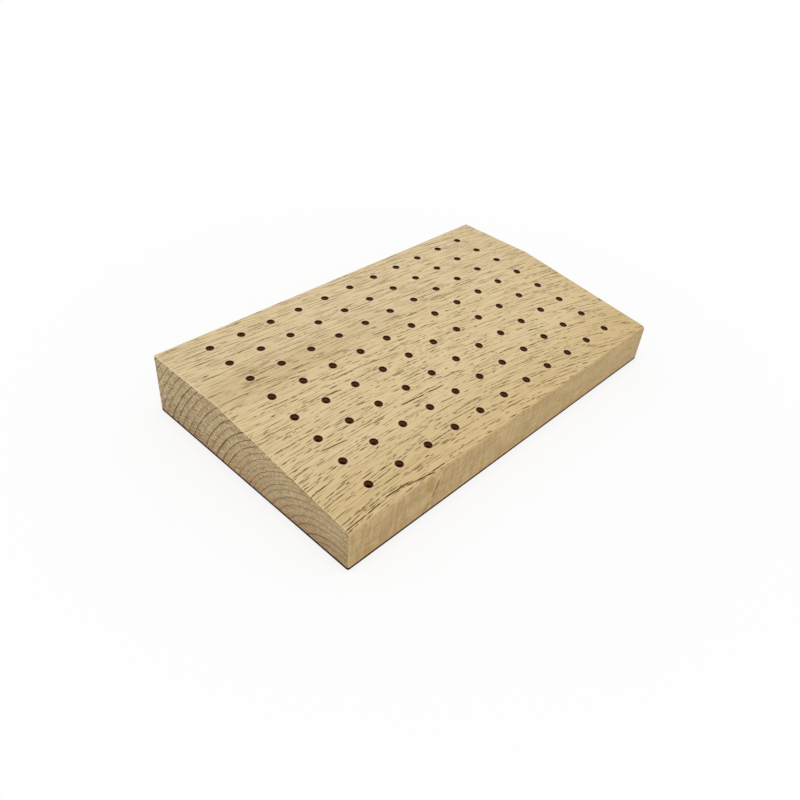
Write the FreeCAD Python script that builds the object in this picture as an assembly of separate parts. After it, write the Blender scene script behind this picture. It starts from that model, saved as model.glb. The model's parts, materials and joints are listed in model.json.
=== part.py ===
"""A beech block that stands dental and rotary burs upright in rows of blind holes.

Millimetres, +Z up. The origin is the middle of the underside. X runs along the rows of holes, from
the left end to the right end, and Y runs from the low front face to the tall rear face.
"""

import FreeCAD
import Part

import os

# The holes, drilled square to the underside with a flat-bottomed drill, all down to one floor
HOLE_DIAMETER = 2.5
HOLES_IN_ROW = 11
HOLE_PITCH = 12.0
ROWS = 8
ROW_PITCH = 10.3
FLOOR_HEIGHT = 3.0

# The depth stop is set on the first hole, at the rear left, which so ends a hair below the others
SETTING_CUT = 0.01

# The wood that is left between the outermost hole centres and the sides of the block
END_MARGIN = 15.2
REAR_MARGIN = 8.0
FRONT_MARGIN = 8.9

# The top is level from the rear face to the crest, and then slopes down to the front face
REAR_HEIGHT = 22.0
LEVEL_DEPTH = 32.5
SLOPE_FALL = 7.3

# Sanding rounds the brow, which is the front's top edge, more than the other edges
BROW_RADIUS = 1.5
EDGE_RADIUS = 0.6

# A plane takes the sharpness off the edges that stand on the bench
FOOT_CHAMFER = 0.4

# How far the drill's outline stands above the block, so that it clears the top
DRILL_OVERRUN = 2.0

LENGTH = (HOLES_IN_ROW - 1) * HOLE_PITCH + 2 * END_MARGIN
DEPTH = REAR_MARGIN + (ROWS - 1) * ROW_PITCH + FRONT_MARGIN
RIGHT = LENGTH / 2
REAR = DEPTH / 2
FRONT = -DEPTH / 2
CREST = REAR - LEVEL_DEPTH
FRONT_HEIGHT = REAR_HEIGHT - SLOPE_FALL

TOUCH = 1e-4


def side_profile():
    """The block's outline at its left end, as a closed face."""
    corners = [(FRONT, 0), (REAR, 0), (REAR, REAR_HEIGHT), (CREST, REAR_HEIGHT), (FRONT, FRONT_HEIGHT)]
    corners.append(corners[0])
    return Part.Face(Part.makePolygon([FreeCAD.Vector(-RIGHT, y, z) for y, z in corners]))


def lies_along(edge, y, z):
    """Whether an edge is the one that runs the block's length at this place of the side profile."""
    return all(abs(v.Y - y) < TOUCH and abs(v.Z - z) < TOUCH for v in edge.Vertexes)


def is_underneath(edge):
    """Whether an edge is one of those that the block stands on."""
    return all(vertex.Z < TOUCH for vertex in edge.Vertexes)


def is_eased(edge):
    """Whether sanding eases an edge: those round both ends and the rear top one, not the underside's."""
    start, end = (vertex.Point for vertex in edge.Vertexes)
    round_an_end = abs(start.x - end.x) < TOUCH
    return lies_along(edge, REAR, REAR_HEIGHT) or (round_an_end and not is_underneath(edge))


def blank():
    """The profile drawn out to the block's length, sanded, and planed round its foot."""
    body = side_profile().extrude(FreeCAD.Vector(LENGTH, 0, 0))
    body = body.makeFillet(BROW_RADIUS, [edge for edge in body.Edges if lies_along(edge, FRONT, FRONT_HEIGHT)])
    body = body.makeFillet(EDGE_RADIUS, [edge for edge in body.Edges if is_eased(edge)])
    return body.makeChamfer(FOOT_CHAMFER, [edge for edge in body.Edges if is_underneath(edge)])


def drill(row, column):
    """The drill at the bottom of one hole: rows count from the rear and columns from the left end."""
    x = -RIGHT + END_MARGIN + column * HOLE_PITCH
    y = REAR - REAR_MARGIN - row * ROW_PITCH
    floor = FLOOR_HEIGHT - SETTING_CUT if row == column == 0 else FLOOR_HEIGHT
    reach = REAR_HEIGHT + DRILL_OVERRUN - floor
    return Part.makeCylinder(HOLE_DIAMETER / 2, reach, FreeCAD.Vector(x, y, floor))


def block():
    """The whole part, one piece of wood."""
    drills = [drill(row, column) for row in range(ROWS) for column in range(HOLES_IN_ROW)]
    return blank().cut(Part.makeCompound(drills))


os.makedirs("parts", exist_ok=True)
shape = block()
shape.exportStep("parts/block.step")
print("block", "valid" if shape.isValid() else "INVALID", "solids", len(shape.Solids))
print("volume cm3", round(shape.Volume / 1000, 2), "length", LENGTH, "depth", DEPTH, "front height", FRONT_HEIGHT)
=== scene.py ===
"""The looks of the beech bur block: bare sanded wood with burnt-brown holes, in soft studio light.

The camera, the lamp and the floor are placed in metres. Every length in the wood is in millimetres, in the
object's own frame: +X along the rows to the right end, +Y to the rear face, +Z up from the underside.
"""

import json

import bpy
from mathutils import Matrix, Vector


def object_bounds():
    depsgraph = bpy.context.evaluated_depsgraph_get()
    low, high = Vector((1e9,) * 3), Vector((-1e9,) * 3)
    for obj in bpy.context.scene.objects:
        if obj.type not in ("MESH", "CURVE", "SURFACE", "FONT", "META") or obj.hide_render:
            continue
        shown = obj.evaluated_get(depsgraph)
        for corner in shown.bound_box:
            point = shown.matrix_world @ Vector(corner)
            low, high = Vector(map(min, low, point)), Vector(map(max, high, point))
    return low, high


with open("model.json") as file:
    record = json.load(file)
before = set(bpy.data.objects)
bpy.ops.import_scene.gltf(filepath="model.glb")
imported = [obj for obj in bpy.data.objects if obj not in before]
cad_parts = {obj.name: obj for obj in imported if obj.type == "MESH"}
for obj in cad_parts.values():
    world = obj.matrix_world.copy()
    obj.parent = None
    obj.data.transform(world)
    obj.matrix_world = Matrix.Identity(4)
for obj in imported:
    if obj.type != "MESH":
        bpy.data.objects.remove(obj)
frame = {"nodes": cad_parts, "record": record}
cad_low, cad_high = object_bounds()

# Millimetres in a metre
MM = 1000.0

# The camera, as fitted to the hole centres and the outline in the photograph
CAMERA_PLACE = Vector((-0.16485, -0.13407, 0.16010))
CAMERA_FORWARD = Vector((0.59366, 0.51012, -0.62238))
CAMERA_RIGHT = Vector((0.69317, -0.71702, 0.07350))
CAMERA_LENS_MM = 33.656
CAMERA_SENSOR_MM = 36.0
CAMERA_CLIP_START = 0.01

# The studio: an even sky and one soft lamp, nearly overhead, on a floor that turns white away from the
# block
SKY_LEVEL = 0.70
LAMP_DIRECTION = Vector((-0.12, -0.10, 1.00))
LAMP_DISTANCE = 0.90
LAMP_SIZE = 0.60
LAMP_POWER = 2.6
FLOOR_RADIUS = 1.5
FLOOR_CORNERS = 96
FLOOR_COLOUR = (250, 250, 250)
WHITE = (1, 1, 1, 1)
WHITE_NEAR, WHITE_FAR = 0.78, 1.0
NEAR, FAR = 0.09, 0.20

# The colours of the wood, as sRGB values
BEECH = (229, 207, 163)
BEECH_WARM = (210, 182, 128)
BEECH_SHADE = (176, 146, 96)
# The painted highlight on the rounded edges
EDGE_HIGHLIGHT = (232, 212, 172)
# The dark of the grain lines, also used for the painted shade on the rear edges
GRAIN_LINE_AND_EDGE_SHADE = (116, 84, 26)
FLECK = (66, 40, 0)
PALE = (250, 233, 184)
END_GRAIN = (202, 178, 132)
END_WARM = (186, 146, 106)
END_RING = (86, 60, 22)
END_RAY = (236, 214, 172)
FOOT_WARM = (200, 150, 100)
# The painted shadow along the foot
FOOT_SHADOW = (26, 16, 8)
INSIDE_HOLE = (150, 94, 48)
CHIP = (200, 160, 118)
# Scorched wood, also used for the painted shade deep in the holes
SCORCH_AND_SHADE = (46, 24, 8)
HOLE_HALO = (232, 198, 168)

# The surface: how rough and glossy it is, and its slight relief, whose height is in metres
ROUGHNESS, END_ROUGHNESS = 0.58, 0.70
GLOSS = 0.35
RELIEF_HEIGHT, RELIEF_STRENGTH = 0.00006, 0.5

# How far a face is turned to one side before it looks like that side, as the change's start and end
END_TURN, SIDE_TURN = (0.72, 0.93), (0.45, 0.95)
# The rounded edges turned to the ends carry a painted highlight, and those turned to the rear painted shade
HIGHLIGHT_EDGE_TURN, SHADED_BACK_EDGE_TURN, SHADED_BACK_EDGE_END = (0.10, 0.45), (0.10, 0.60), (1.0, 0.9)
UNDERSIDE_TURN = (-0.95, -0.80)

# The foot carries a painted shadow up to this height, and its edge is this soft
FOOT_SHADOW_TOP, FOOT_SHADOW_SOFT = 1.20, 0.10

# Where the looks of the level top give way to those of the slope, along Y, and where marks grow fewer,
# along X
SLOPE_FADE = (24.0, -6.0)
LEFT_FADE = (70.0, -50.0)

# The shades and warmer tones of the top: the places between which each one comes in, along Y or along X
CREST_SHADE_Y, CREST_SHADE_REACH, CREST_SHADE_X = 13.0, (11.0, 3.0), (30.0, -45.0)
REAR_SHADE_Y, LEFT_SHADE_X = (4.0, 14.0), (-15.0, -65.0)
FRONT_WARM_Y, RIGHT_WARM_X = (-20.0, -38.0), (45.0, 75.0)

# The same on the ends, along Z or Y, and on the long sides, along Z or X; the long sides' shade along X is
# painted shade
END_FOOT_Z, END_LOW_Z = (9.0, 0.0), (13.0, 5.0)
END_LOW_FRONT_Y, END_LOW_REAR_Y = (-2.0, -20.0), (12.0, 24.0)
SIDE_FOOT_Z, SIDE_MOTTLE_X, SIDE_PAINTED_SHADE_X = (5.0, 0.5), (30.0, -50.0), (-60.0, 60.0)

# The holes: how far past their edge the pale wood and the scorched rim reach, and how strong these are
HOLE_HALO_REACH, HOLE_HALO_SHARE = (1.1, 0.5), 0.25
RIM_REACH, RIM_SHARE = (0.26, 0.04), 0.85

# How deep in a hole the scorched mouth turns brown, and the brown turns to painted shade
BROWN_DEPTH, SHADE_DEPTH = (0.3, 0.9), (1.2, 2.4)

# How far outside a hole's wall and below its floor a point still counts as in the hole
WALL_SLACK, FLOOR_SLACK = 0.01, 0.5

# The growth rings. Their heart runs along X below the foot of the front face, they are wider than high and
# lean towards the rear, and there are so many to the millimetre near the heart, in the close-grown middle
# and beyond
HEART_INSET, HEART_HEIGHT = 4.1, -3.45
RING_STRETCH, RING_LEAN = 1.2, 0.34
YOUNG_RINGS, CLOSE_RINGS, OLD_RINGS = 0.28, 0.57, 0.345
CLOSE_START, CLOSE_END = 32.0, 45.0

# How much of the bend of the grain the rings follow, and the shares of a year in which the dark late wood
# comes in and ends
RING_BOW = 0.6
LATE_START, LATE_END = (0.76, 0.94), (1.0, 0.965)

# The flow of the grain over the top: it runs forwards to the right, more and more so, and near the front it
# starts out rearwards from the left end and bends forwards along the block
GRAIN_LEAN, GRAIN_SWEEP = 0.055, 0.0003
BOW_START, BOW, BOW_FADE = 0.16, 0.0012, (15.0, -40.0)

# The unevenness of the wood: the sizes of its features along X, Y and Z. Where it moves the grain, the
# swing says how far
GRAIN_WANDER = {"sizes": (70.0, 20.0, 20.0), "swing": 0.9}
GRAIN_RIPPLE = {"sizes": (14.0, 3.0, 3.0), "swing": 0.25}
RING_WANDER = {"sizes": (60.0, 24.0, 24.0), "swing": 1.3}
RING_RIPPLE = {"sizes": (9.0, 1.5, 1.5), "swing": 0.24}
YEAR_SPREAD = {"sizes": (3.8, 1.0, 1.0), "swing": 0.4}
RING_FADING = {"sizes": (20.0, 3.0, 3.0)}
SIDE_WANDER = {"sizes": (30.0, 9.0, 9.0), "swing": 1.5}
STREAK_RAGGED = {"sizes": (2.0, 2.0, 1.0), "swing": 0.20}
PATCHES = {"sizes": (34.0, 8.0, 1.0)}
GRIT = {"sizes": (1.0, 0.6, 1.0)}
BREAKS = {"sizes": (1.7, 0.6, 1.0), "detail": 1.0}
THREADS = {"sizes": (14.0, 0.32, 1.0), "detail": 1.0}
BANDS = {"sizes": (150.0, 5.5, 1.0)}
END_PATCHES = {"sizes": (30.0, 9.0, 6.0)}
SPECKLE = {"sizes": (0.42, 0.42, 0.42)}
MOTTLE, MOTTLE_LEAN = {"sizes": (1.1, 1.0, 9.0), "detail": 3.0}, -0.05
CLOUDS = {"sizes": (16.0, 9.0, 4.0)}
SPECKS = {"sizes": (1.4, 1.0, 0.55), "detail": 3.0}
CHIPS = {"sizes": (0.7, 0.7, 0.7)}
RELIEF = {"sizes": (5.0, 0.35, 0.35)}

# The marks along the grain: in lanes that are so wide, and cells that are so long with one mark at most
FLECKS = {"cell": 5.6, "lane": 1.0, "width": 0.38, "seed": 1.0}
SHORT_FLECKS = {"cell": 2.8, "lane": 1.0, "width": 0.34, "seed": 2.0}
LONG_FLECKS = {"cell": 13.0, "lane": 2.0, "width": 0.38, "seed": 3.0}
LONG_LINES = {"cell": 26.0, "lane": 1.3, "width": 0.38, "seed": 4.0}
FINE_LINES = {"cell": 11.0, "lane": 0.90, "width": 0.30, "seed": 5.0}
RAYS = {"cell": 3.6, "lane": 0.85, "width": 0.56, "seed": 6.0}
DARK_RAYS = {"cell": 3.3, "lane": 0.80, "width": 0.50, "seed": 7.0}

# The rays run out from the heart, and one radian round it counts as this many millimetres across them
RAY_SPREAD = 55.0

# The shape of a mark: its half length as a share of its cell, its half width as a share of its width, how
# far it lies off the middle of its lane, and how faint the faintest is
HALF_LENGTH, HALF_WIDTH = (0.16, 0.48), (0.35, 0.5)
OFF_MIDDLE, FAINTEST = (-0.20, 0.20), 0.45

# Where the dark of a mark and the pale wood beside it fade out, with the outline of the mark at 1, and how
# far that wood is paler than elsewhere
DARK_FADE, PALE_FADE = (1.05, 0.80), (1.9, 1.1)
HALO = 0.42

# The most cells by which one lane is shifted against another
LANE_SLIDE = 31.0

# The width of a streak, how softly its sides fade as shares of that, and the length over which an end does
STREAK_WIDTH, STREAK_FADE, STREAK_TAPER = 0.17, (1.3, 0.8), 1.6

# Single long streaks on the top, each as its start and end from the left end, its distance from the rear
# face there, and its strength
STREAKS = (
    ((-1.6, 87.7), (8.4, 87.1), 0.9),
    ((7.4, 87.2), (14.2, 86.6), 1.0),
    ((14.8, 86.2), (25.4, 86.3), 1.0),
    ((22.4, 86.7), (34.1, 88.4), 0.9),
    ((43.8, 63.9), (54.4, 65.0), 1.0),
    ((54.9, 65.0), (62.8, 65.6), 0.9),
    ((67.5, 62.7), (73.4, 64.9), 0.8),
    ((27.1, 47.7), (35.0, 48.6), 0.8),
    ((34.9, 43.6), (43.4, 44.2), 0.8),
    ((45.7, 43.9), (61.7, 46.6), 0.6),
    ((26.1, 55.5), (30.1, 55.7), 0.8),
    ((32.6, 56.1), (37.3, 56.7), 0.9),
    ((31.3, 64.4), (37.2, 64.7), 0.8),
    ((12.0, 63.5), (22.3, 64.8), 0.9),
    ((7.4, 66.9), (12.1, 66.5), 0.7),
    ((20.1, 27.1), (31.5, 29.1), 0.6),
    ((19.5, 22.3), (27.3, 23.3), 0.5),
    ((10.6, 29.4), (20.9, 31.5), 0.6),
    ((69.7, 26.1), (76.0, 27.3), 0.6),
    ((91.0, 32.0), (108.0, 35.0), 0.5),
)

# The same on the front face, with heights, and the scar near its left end as heights and places along it
FRONT_STREAKS = (
    ((42.2, 7.7), (45.4, 8.2), 0.7),
    ((48.2, 5.8), (51.0, 6.5), 0.6),
    ((140.0, 9.1), (145.2, 7.7), 0.6),
)
SCAR = ((0.4, 28.4), (4.8, 32.4), (12.0, 35.6))
SCAR_WIDTH, SCAR_SHARE = 0.4, 0.6


def linear(colour):
    """An sRGB colour of 0 to 255 as the linear one that a shader takes."""
    parts = [c / 255 for c in colour]
    return tuple(p / 12.92 if p <= 0.04045 else ((p + 0.055) / 1.055) ** 2.4 for p in parts) + (1.0,)


class Nodes:
    """The node tree of a material or of the world, with one short method for each kind of step."""

    def __init__(self, owner):
        owner.use_nodes = True
        self.tree = owner.node_tree
        self.tree.nodes.clear()

    def node(self, kind, inputs=(), **settings):
        made = self.tree.nodes.new(kind)
        for key, value in settings.items():
            setattr(made, key, value)
        for key, value in dict(inputs).items():
            self.feed(made.inputs[key], value)
        return made

    def feed(self, socket, value):
        if isinstance(value, bpy.types.NodeSocket):
            self.tree.links.new(value, socket)
        else:
            socket.default_value = value

    def math(self, operation, *values):
        made = self.node("ShaderNodeMath", operation=operation)
        for socket, value in zip(made.inputs, values):
            self.feed(socket, value)
        return made.outputs[0]

    def total(self, *values):
        result = values[0]
        for value in values[1:]:
            result = self.math("ADD", result, value)
        return result

    def product(self, *values):
        result = values[0]
        for value in values[1:]:
            result = self.math("MULTIPLY", result, value)
        return result

    def less(self, value, taken):
        return self.math("SUBTRACT", value, taken)

    def over(self, value, divisor):
        return self.math("DIVIDE", value, divisor)

    def most(self, *values):
        result = values[0]
        for value in values[1:]:
            result = self.math("MAXIMUM", result, value)
        return result

    def least(self, first, second):
        return self.math("MINIMUM", first, second)

    def length(self, first, second):
        return self.math("SQRT", self.total(self.product(first, first), self.product(second, second)))

    def between(self, value, low, high):
        """The value as a share of 0 to 1, brought to the range from low to high."""
        return self.math("MULTIPLY_ADD", value, high - low, low)

    def step(self, value, start, end):
        """0 up to start and 1 from end on, with a smooth rise between them; a fall if end is the lower."""
        made = self.node("ShaderNodeMapRange", interpolation_type="SMOOTHSTEP", clamp=True)
        for key, number in (("Value", value), ("From Min", start), ("From Max", end)):
            self.feed(made.inputs[key], number)
        return made.outputs[0]

    def join(self, x, y, z=0.0):
        return self.node("ShaderNodeCombineXYZ", {"X": x, "Y": y, "Z": z}).outputs[0]

    def split(self, vector):
        made = self.node("ShaderNodeSeparateXYZ", {0: vector})
        return made.outputs["X"], made.outputs["Y"], made.outputs["Z"]

    def noise(self, x, y=0.0, z=0.0, sizes=(1.0, 1.0, 1.0), detail=2.0, swing=None):
        """Noise of 0 to 1, or of minus to plus the swing, with features of the given sizes."""
        where = self.join(*[self.over(value, size) for value, size in zip((x, y, z), sizes)])
        inputs = {"Vector": where, "Scale": 1.0, "Detail": detail, "Roughness": 0.5}
        made = self.node("ShaderNodeTexNoise", inputs, noise_dimensions="3D").outputs[0]
        return made if swing is None else self.product(self.less(made, 0.5), 2.0 * swing)

    def marks(self, along, across, cell, lane, width, seed, share):
        """Thin tapered marks, one to a cell of a lane at most, in the share of the cells.

        They are up to 1 in their middles and below 0 in the pale wood beside them. All else is 0.
        """
        row = self.math("FLOOR", self.over(across, lane))
        inputs = {"W": self.total(row, seed)}
        slide = self.node("ShaderNodeTexWhiteNoise", inputs, noise_dimensions="1D").outputs[0]
        place = self.total(self.over(along, cell), self.product(slide, LANE_SLIDE))
        where = self.join(row, self.math("FLOOR", place), seed)
        cell_noise = self.node("ShaderNodeTexWhiteNoise", {"Vector": where}, noise_dimensions="3D")
        chance, size, strength = self.split(cell_noise.outputs["Color"])
        ahead = self.less(self.math("FRACT", place), 0.5)
        off_middle = self.between(slide, *OFF_MIDDLE)
        aside = self.total(self.math("FRACT", self.over(across, lane)), off_middle, -0.5)
        half_length = self.between(size, *[part * cell for part in HALF_LENGTH])
        half_width = self.between(strength, *[part * width for part in HALF_WIDTH])
        ahead = self.over(self.product(ahead, cell), half_length)
        aside = self.over(self.product(aside, lane), half_width)
        reach = self.total(self.math("ABSOLUTE", aside), self.product(ahead, ahead))
        dark = self.product(self.step(reach, *DARK_FADE), 1.0 + HALO)
        pale = self.product(self.step(reach, *PALE_FADE), HALO)
        present = self.math("LESS_THAN", chance, share)
        return self.product(self.less(dark, pale), present, self.between(strength, FAINTEST, 1.0))

    def blend(self, share, first, second):
        """The first colour where share is 0, and the second where it is 1."""
        made = self.node("ShaderNodeMix", data_type="RGBA", clamp_factor=True)
        colours = [made.inputs[6], made.inputs[7]]
        self.feed(made.inputs[0], share)
        self.feed(colours[0], linear(first) if isinstance(first, tuple) else first)
        self.feed(colours[1], linear(second) if isinstance(second, tuple) else second)
        return made.outputs[2]

    def backdrop_rays(self):
        """1 for the rays that should meet the plain white of the backdrop."""
        rays = self.node("ShaderNodeLightPath").outputs
        return self.most(rays["Is Camera Ray"], rays["Is Glossy Ray"], rays["Is Transmission Ray"])


def holes(record):
    """From the record: the lines of hole centres, their radius, floor and the top over each row."""
    bores = [m for m in record["mounts"] if m["kind"] == "bore"]
    columns = sorted({round(m["pos_m"][0] * MM, 3) for m in bores})
    rows = sorted({round(m["pos_m"][1] * MM, 3) for m in bores})
    bottom = min(m["pos_m"][2] * MM - m["dims"]["length_mm"] / 2 for m in bores)
    tops = {round(m["pos_m"][1] * MM, 3): m["pos_m"][2] * MM + m["dims"]["length_mm"] / 2 for m in bores}
    return columns, rows, bores[0]["dims"]["r_mm"], bottom, [tops[row] for row in rows]


def hole_distance(s, x, y, columns, rows):
    """How far a point is from the axis of the nearest hole."""
    offsets = []
    for place, line in ((x, columns), (y, rows)):
        pitch = (line[-1] - line[0]) / (len(line) - 1)
        steps = s.over(s.less(place, line[0]), pitch)
        nearest = s.least(s.most(s.math("ROUND", steps), 0.0), float(len(line) - 1))
        offsets.append(s.product(s.less(steps, nearest), pitch))
    return s.length(*offsets)


def streak(s, x, y, start, end, width=STREAK_WIDTH):
    """One thin line from start to end, which fades out at both."""
    rise = (end[1] - start[1]) / (end[0] - start[0])
    line = s.math("MULTIPLY_ADD", x, rise, start[1] - rise * start[0])
    aside = s.math("ABSOLUTE", s.less(y, line))
    begun = s.step(x, start[0], start[0] + STREAK_TAPER)
    body = s.product(begun, s.step(x, end[0], end[0] - STREAK_TAPER))
    return s.product(body, s.step(aside, *[part * width for part in STREAK_FADE]))


def grain_flow(s, x, y, z, left):
    """How far the grain has moved forwards since the left end, and how far it wanders on the way."""
    along = s.less(x, left)
    bend = s.less(s.product(along, along, BOW), s.product(along, BOW_START))
    sweep = s.product(along, s.math("MULTIPLY_ADD", along, GRAIN_SWEEP, GRAIN_LEAN))
    bow = s.total(sweep, s.product(bend, s.step(y, *BOW_FADE)))
    return bow, s.noise(x, y, z, **GRAIN_WANDER)


def growth_rings(s, x, y, z, front, bow):
    """How far the heart is, how dark the late wood, and what share of the year has gone."""
    sideways = s.total(s.less(y, front + HEART_INSET), s.product(bow, RING_BOW))
    upwards = s.product(s.less(z, HEART_HEIGHT), RING_STRETCH)
    radius = s.total(s.length(sideways, upwards), s.product(z, RING_LEAN))
    radius = s.total(radius, s.noise(x, y, z, **RING_WANDER))
    ragged = s.total(radius, s.noise(x, y, z, **RING_RIPPLE))
    young = s.least(ragged, CLOSE_START)
    close = s.least(s.most(s.less(ragged, CLOSE_START), 0.0), CLOSE_END - CLOSE_START)
    old = s.most(s.less(ragged, CLOSE_END), 0.0)
    age = s.total(s.product(young, YOUNG_RINGS), s.product(close, CLOSE_RINGS), s.product(old, OLD_RINGS))
    age = s.total(age, s.noise(radius, **YEAR_SPREAD))
    season = s.math("FRACT", age)
    late = s.product(s.step(season, *LATE_START), s.step(season, *LATE_END))
    year = s.step(s.noise(s.math("FLOOR", age), 0.5, 0.5, detail=0.0), 0.34, 0.62)
    along = s.step(s.noise(x, y, z, **RING_FADING), 0.30, 0.60)
    strength = s.product(s.between(year, 0.50, 1.0), s.between(along, 0.60, 1.0))
    return radius, s.product(late, strength), season


def top_colour(s, x, y, z, across, ring, left, rear):
    """The top and the underside, and how strong their marks are.

    The numbers that a noise takes for its third coordinate only keep the noises apart.
    """
    on_slope = s.step(y, *SLOPE_FADE)
    near_left = s.step(x, *LEFT_FADE)
    patches = s.step(s.noise(x, across, 3.0, **PATCHES), 0.30, 0.60)
    thick = s.product(
        s.between(on_slope, 0.20, 1.0),
        s.between(patches, 0.80, 1.0),
        s.between(near_left, 0.65, 1.0),
    )
    flecks = s.marks(x, across, share=s.product(thick, 0.34), **FLECKS)
    short = s.marks(x, s.total(across, 0.5), share=s.between(thick, 0.10, 0.24), **SHORT_FLECKS)
    sparse = s.marks(x, s.total(across, 0.3), share=s.product(thick, 0.25), **LONG_FLECKS)
    long = s.marks(x, s.total(across, 0.2), share=0.85, **LONG_LINES)
    fine = s.marks(x, across, share=0.80, **FINE_LINES)
    grit = s.between(s.noise(x, across, 6.0, **GRIT), 0.50, 1.50)
    broken = s.step(s.noise(x, across, 12.0, **BREAKS), 0.42, 0.50)
    threads = s.noise(x, across, z, **THREADS)
    bands = s.noise(x, across, 9.0, **BANDS)
    off_crest = s.math("ABSOLUTE", s.less(y, CREST_SHADE_Y))
    crest_band = s.product(s.step(off_crest, *CREST_SHADE_REACH), s.step(x, *CREST_SHADE_X))
    shade = s.total(
        s.product(s.less(bands, 0.36), 0.12),
        s.product(s.less(threads, 0.42), s.between(on_slope, 0.95, 0.65)),
        s.product(crest_band, 0.20),
        s.product(s.step(y, *REAR_SHADE_Y), 0.10),
        s.product(s.step(x, *LEFT_SHADE_X), 0.07),
    )
    lines = s.most(
        s.product(long, s.between(broken, 0.50, 1.0), s.between(on_slope, 1.0, 0.62)),
        s.product(fine, s.between(on_slope, 1.0, 0.50)),
        s.product(ring, s.between(on_slope, 0.32, 0.18)),
    )
    warm = s.total(
        s.product(on_slope, 0.34),
        s.product(s.step(y, *FRONT_WARM_Y), 0.42),
        s.product(s.step(x, *RIGHT_WARM_X), 0.20),
    )
    ground = s.blend(warm, BEECH, BEECH_WARM)
    ground = s.blend(s.most(shade, 0.0), ground, BEECH_SHADE)
    ground = s.blend(lines, ground, GRAIN_LINE_AND_EDGE_SHADE)
    from_left, from_rear = s.less(x, left), s.less(rear, y)
    ragged = s.total(from_rear, s.noise(x, y, **STREAK_RAGGED))
    dashes = s.product(long, broken, s.between(on_slope, 0.45, 0.85), s.between(near_left, 0.85, 1.0))
    short = s.product(short, s.between(on_slope, 0.60, 0.80))
    mark = s.total(flecks, short, s.product(sparse, 0.8), dashes)
    mark = s.product(mark, grit)
    for start, end, strength in STREAKS:
        mark = s.most(mark, s.product(streak(s, from_left, ragged, start, end), strength))
    ground = s.blend(s.product(mark, -1.5), ground, PALE)
    return s.blend(mark, ground, FLECK), s.most(mark, 0.0)


def end_colour(s, x, y, z, radius, ring, season, front):
    """The ends: dark ring lines, pale and dark rays that run out from the heart, and a warmer foot.

    It also gives the speckle, which the relief of the ends follows.
    """
    turn = s.math("ARCTAN2", s.less(z, HEART_HEIGHT), s.less(y, front + HEART_INSET))
    angle = s.product(turn, RAY_SPREAD)
    rays = s.marks(radius, angle, share=0.80, **RAYS)
    dark_rays = s.marks(radius, angle, share=0.80, **DARK_RAYS)
    patches = s.step(s.noise(x, y, z, **END_PATCHES), 0.35, 0.65)
    foot = s.step(z, *END_FOOT_Z)
    warm = s.total(s.product(patches, 0.30), s.product(foot, 0.65))
    colour = s.blend(s.least(warm, 0.9), END_GRAIN, END_WARM)
    speckle = s.noise(x, y, z, **SPECKLE)
    low_corners = s.total(s.step(y, *END_LOW_FRONT_Y), s.step(y, *END_LOW_REAR_Y))
    dark = s.total(
        s.product(s.less(speckle, 0.45), 2.2),
        s.product(season, 0.08),
        s.product(dark_rays, 0.80),
        s.product(s.step(z, *END_LOW_Z), low_corners, 0.10),
    )
    colour = s.blend(s.product(rays, 0.90), colour, END_RAY)
    colour = s.blend(s.most(dark, 0.0), colour, END_RING)
    return s.blend(s.product(ring, 1.1), colour, END_RING), speckle


def side_colour(s, x, y, z, ring, left):
    """The long sides, cut along the rays: nearly plain, with soft upright mottling, a warmer foot and
    painted shade that grows towards the right.

    The front one also has a few streaks and a scar.
    """
    mottle = s.noise(s.total(x, s.product(z, MOTTLE_LEAN)), 0.0, z, **MOTTLE)
    clouds = s.noise(x, y, z, **CLOUDS)
    specks = s.noise(x, y, z, **SPECKS)
    fine = s.marks(x, s.total(z, s.noise(x, y, z, **SIDE_WANDER)), share=0.60, **FINE_LINES)
    shade = s.total(
        s.product(s.less(mottle, 0.45), s.between(s.step(x, *SIDE_MOTTLE_X), 0.60, 2.20)),
        s.product(s.less(clouds, 0.40), 1.3),
        s.product(s.less(specks, 0.5), 1.6),
        # Painted shade over the whole long side, stronger towards the right
        s.between(s.step(x, *SIDE_PAINTED_SHADE_X), 0.33, 0.46),
        s.product(fine, 0.50),
        s.product(ring, 0.35),
    )
    colour = s.blend(s.most(shade, 0.0), BEECH_WARM, BEECH_SHADE)
    colour = s.blend(s.product(s.step(z, *SIDE_FOOT_Z), clouds, 0.7), colour, FOOT_WARM)
    from_left = s.less(x, left)
    ragged = s.total(z, s.noise(x, z, **STREAK_RAGGED))
    scar = s.most(
        streak(s, z, from_left, *SCAR[0:2], SCAR_WIDTH),
        streak(s, z, from_left, *SCAR[1:3], SCAR_WIDTH),
    )
    mark = s.product(scar, SCAR_SHARE)
    for start, end, strength in FRONT_STREAKS:
        mark = s.most(mark, s.product(streak(s, from_left, ragged, start, end), strength))
    return s.blend(s.product(mark, s.step(y, 0.0, -10.0)), colour, FLECK)


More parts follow.
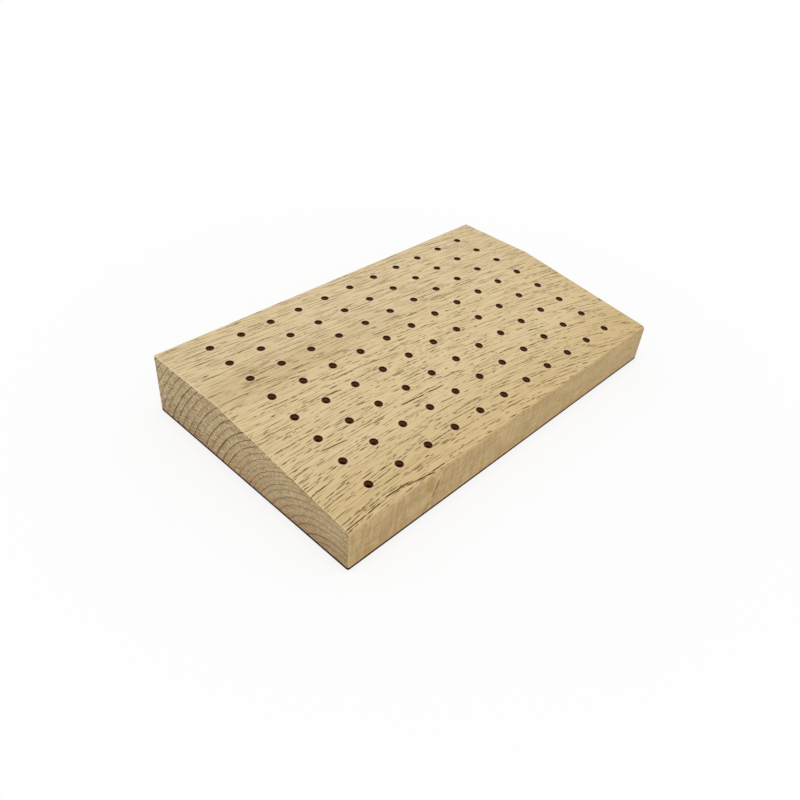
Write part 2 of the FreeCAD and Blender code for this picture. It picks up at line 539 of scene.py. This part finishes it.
def hole_colour(s, x, y, z, colour, record):
    """The colour with the holes in it: pale round them, scorched rims, and brown walls that turn to painted
    shade further down.
    """
    columns, rows, hole_radius, hole_floor, tops = holes(record)
    fall = (tops[1] - tops[0]) / (rows[1] - rows[0])
    slope_height = s.math("MULTIPLY_ADD", y, fall, tops[0] - fall * rows[0])
    depth = s.less(s.least(slope_height, tops[-1]), z)
    distance = hole_distance(s, x, y, columns, rows)
    above_floor = s.math("GREATER_THAN", z, hole_floor - FLOOR_SLACK)
    halo = s.step(distance, *[hole_radius + reach for reach in HOLE_HALO_REACH])
    rim = s.step(distance, *[hole_radius + reach for reach in RIM_REACH])
    inside = s.product(s.math("LESS_THAN", distance, hole_radius + WALL_SLACK), above_floor)
    colour = s.blend(s.product(halo, above_floor, HOLE_HALO_SHARE), colour, HOLE_HALO)
    colour = s.blend(s.product(rim, above_floor, RIM_SHARE), colour, SCORCH_AND_SHADE)
    chips = s.step(s.noise(x, y, z, **CHIPS), 0.66, 0.72)
    brown = s.blend(s.product(chips, 0.7), INSIDE_HOLE, CHIP)
    wall = s.blend(s.step(depth, *BROWN_DEPTH), SCORCH_AND_SHADE, brown)
    # Deep down, the wall turns to painted shade
    return s.blend(inside, colour, s.blend(s.step(depth, *SHADE_DEPTH), wall, SCORCH_AND_SHADE))


def beech(record, low, high):
    """Bare, fine-sanded beech, with a painted shadow along the foot, and darkened holes whose depths hold
    painted shade.
    """
    material = bpy.data.materials.new("beech")
    s = Nodes(material)
    coordinates = s.node("ShaderNodeTexCoord").outputs
    place = s.node("ShaderNodeVectorMath", {0: coordinates["Object"], "Scale": MM}, operation="SCALE")
    x, y, z = s.split(place.outputs[0])
    facing_x, facing_y, facing_z = s.split(coordinates["Normal"])
    on_end = s.step(s.math("ABSOLUTE", facing_x), *END_TURN)
    # Painted highlight on the rounded edges turned to the ends, stronger where they face up
    highlight_edge = s.step(s.math("ABSOLUTE", facing_x), *HIGHLIGHT_EDGE_TURN)
    highlight_edge = s.product(highlight_edge, s.between(facing_z, 0.20, 0.60))
    # Painted shade on the rounded edges turned to the rear
    shaded_back_edge = s.product(s.step(facing_y, *SHADED_BACK_EDGE_TURN), s.step(facing_y, *SHADED_BACK_EDGE_END))
    on_side = s.step(s.math("ABSOLUTE", facing_y), *SIDE_TURN)
    left, front, rear = low.x * MM, low.y * MM, high.y * MM

    bow, drift = grain_flow(s, x, y, z, left)
    across = s.total(y, bow, drift, s.noise(x, y, z, **GRAIN_RIPPLE))
    radius, ring, season = growth_rings(s, x, y, z, front, bow)
    flat, mark = top_colour(s, x, y, z, across, ring, left, rear)
    end, speckle = end_colour(s, x, y, z, radius, ring, season, front)
    side = side_colour(s, x, y, z, ring, left)
    colour = s.blend(on_side, flat, side)
    # The painted highlight is fainter over the slope
    edge_highlight = s.product(highlight_edge, s.between(s.step(y, *SLOPE_FADE), 1.0, 0.6))
    colour = s.blend(edge_highlight, colour, EDGE_HIGHLIGHT)
    # Painted shade on the rear edges
    colour = s.blend(s.product(shaded_back_edge, 0.45), colour, GRAIN_LINE_AND_EDGE_SHADE)
    colour = s.blend(on_end, colour, end)
    not_below = s.step(facing_z, *UNDERSIDE_TURN)
    # Painted shadow along the foot of the sides and ends, where the block meets the floor
    foot = s.product(s.step(z, FOOT_SHADOW_TOP + FOOT_SHADOW_SOFT, FOOT_SHADOW_TOP - FOOT_SHADOW_SOFT), not_below, 0.96)
    colour = s.blend(foot, colour, FOOT_SHADOW)
    colour = hole_colour(s, x, y, z, colour, record)

    # The relief has threads along the grain, and a coarser tooth on the ends
    relief = s.total(s.product(s.noise(x, y, z, **RELIEF), 0.6), s.product(on_end, speckle))
    bump = s.node("ShaderNodeBump", {"Height": relief, "Strength": RELIEF_STRENGTH,
                                     "Distance": RELIEF_HEIGHT})
    roughness = s.between(on_end, ROUGHNESS, END_ROUGHNESS)
    gloss = s.between(s.least(s.most(mark, foot), 1.0), GLOSS, 0.0)
    surface = s.node("ShaderNodeBsdfPrincipled", {"Base Color": colour, "Roughness": roughness,
                                                  "Specular IOR Level": gloss, "Normal": bump.outputs[0]})
    s.node("ShaderNodeOutputMaterial", {"Surface": surface.outputs[0]})
    return material


def floor_finish():
    """White paint, which shows as plain white to the camera away from the block but keeps its shadow."""
    material = bpy.data.materials.new("studio_floor")
    s = Nodes(material)
    x, y, z = s.split(s.node("ShaderNodeTexCoord").outputs["Object"])
    whiteness = s.between(s.step(s.length(x, y), NEAR, FAR), WHITE_NEAR, WHITE_FAR)
    paint = s.node("ShaderNodeBsdfDiffuse", {"Color": linear(FLOOR_COLOUR)})
    glow = s.node("ShaderNodeEmission", {"Color": WHITE, "Strength": 1.0})
    share = s.product(s.backdrop_rays(), whiteness)
    both = s.node("ShaderNodeMixShader", {0: share, 1: paint.outputs[0], 2: glow.outputs[0]})
    s.node("ShaderNodeOutputMaterial", {"Surface": both.outputs[0]})
    return material


def floor():
    """The floor of the studio, a disc at the height of the underside."""
    bpy.ops.mesh.primitive_circle_add(vertices=FLOOR_CORNERS, radius=FLOOR_RADIUS, fill_type="NGON")
    disc = bpy.context.object
    disc.name = "studio_floor"
    disc.data.materials.append(floor_finish())


def sky():
    """An even sky that lights the block, and that the camera sees as white."""
    world = bpy.data.worlds.new("sky")
    bpy.context.scene.world = world
    s = Nodes(world)
    lit = s.node("ShaderNodeBackground", {"Color": WHITE, "Strength": SKY_LEVEL})
    seen = s.node("ShaderNodeBackground", {"Color": WHITE, "Strength": 1.0})
    both = s.node("ShaderNodeMixShader", {0: s.backdrop_rays(), 1: lit.outputs[0], 2: seen.outputs[0]})
    s.node("ShaderNodeOutputWorld", {"Surface": both.outputs[0]})


def lamp():
    """The soft lamp, turned towards the block."""
    light = bpy.data.lights.new("lamp", "AREA")
    light.energy = LAMP_POWER
    light.size = LAMP_SIZE
    holder = bpy.data.objects.new("lamp", light)
    toward = LAMP_DIRECTION.normalized()
    holder.location = toward * LAMP_DISTANCE
    holder.rotation_euler = toward.to_track_quat("Z", "Y").to_euler()
    bpy.context.scene.collection.objects.link(holder)


def camera():
    """The camera at the photograph's place, looking the same way."""
    eye = bpy.data.cameras.new("camera")
    eye.sensor_width = CAMERA_SENSOR_MM
    eye.lens = CAMERA_LENS_MM
    eye.clip_start = CAMERA_CLIP_START
    holder = bpy.data.objects.new("camera", eye)
    back = -CAMERA_FORWARD.normalized()
    up = back.cross(CAMERA_RIGHT).normalized()
    right = up.cross(back)
    turn = Matrix((right, up, back)).transposed().to_4x4()
    holder.matrix_world = Matrix.Translation(CAMERA_PLACE) @ turn
    bpy.context.scene.collection.objects.link(holder)
    bpy.context.scene.camera = holder


block = frame["nodes"]["block"]
wood = beech(frame["record"], cad_low, cad_high)
for slot in block.material_slots:
    slot.material = wood

floor()
sky()
lamp()
camera()
bpy.context.scene.view_settings.view_transform = "Standard"
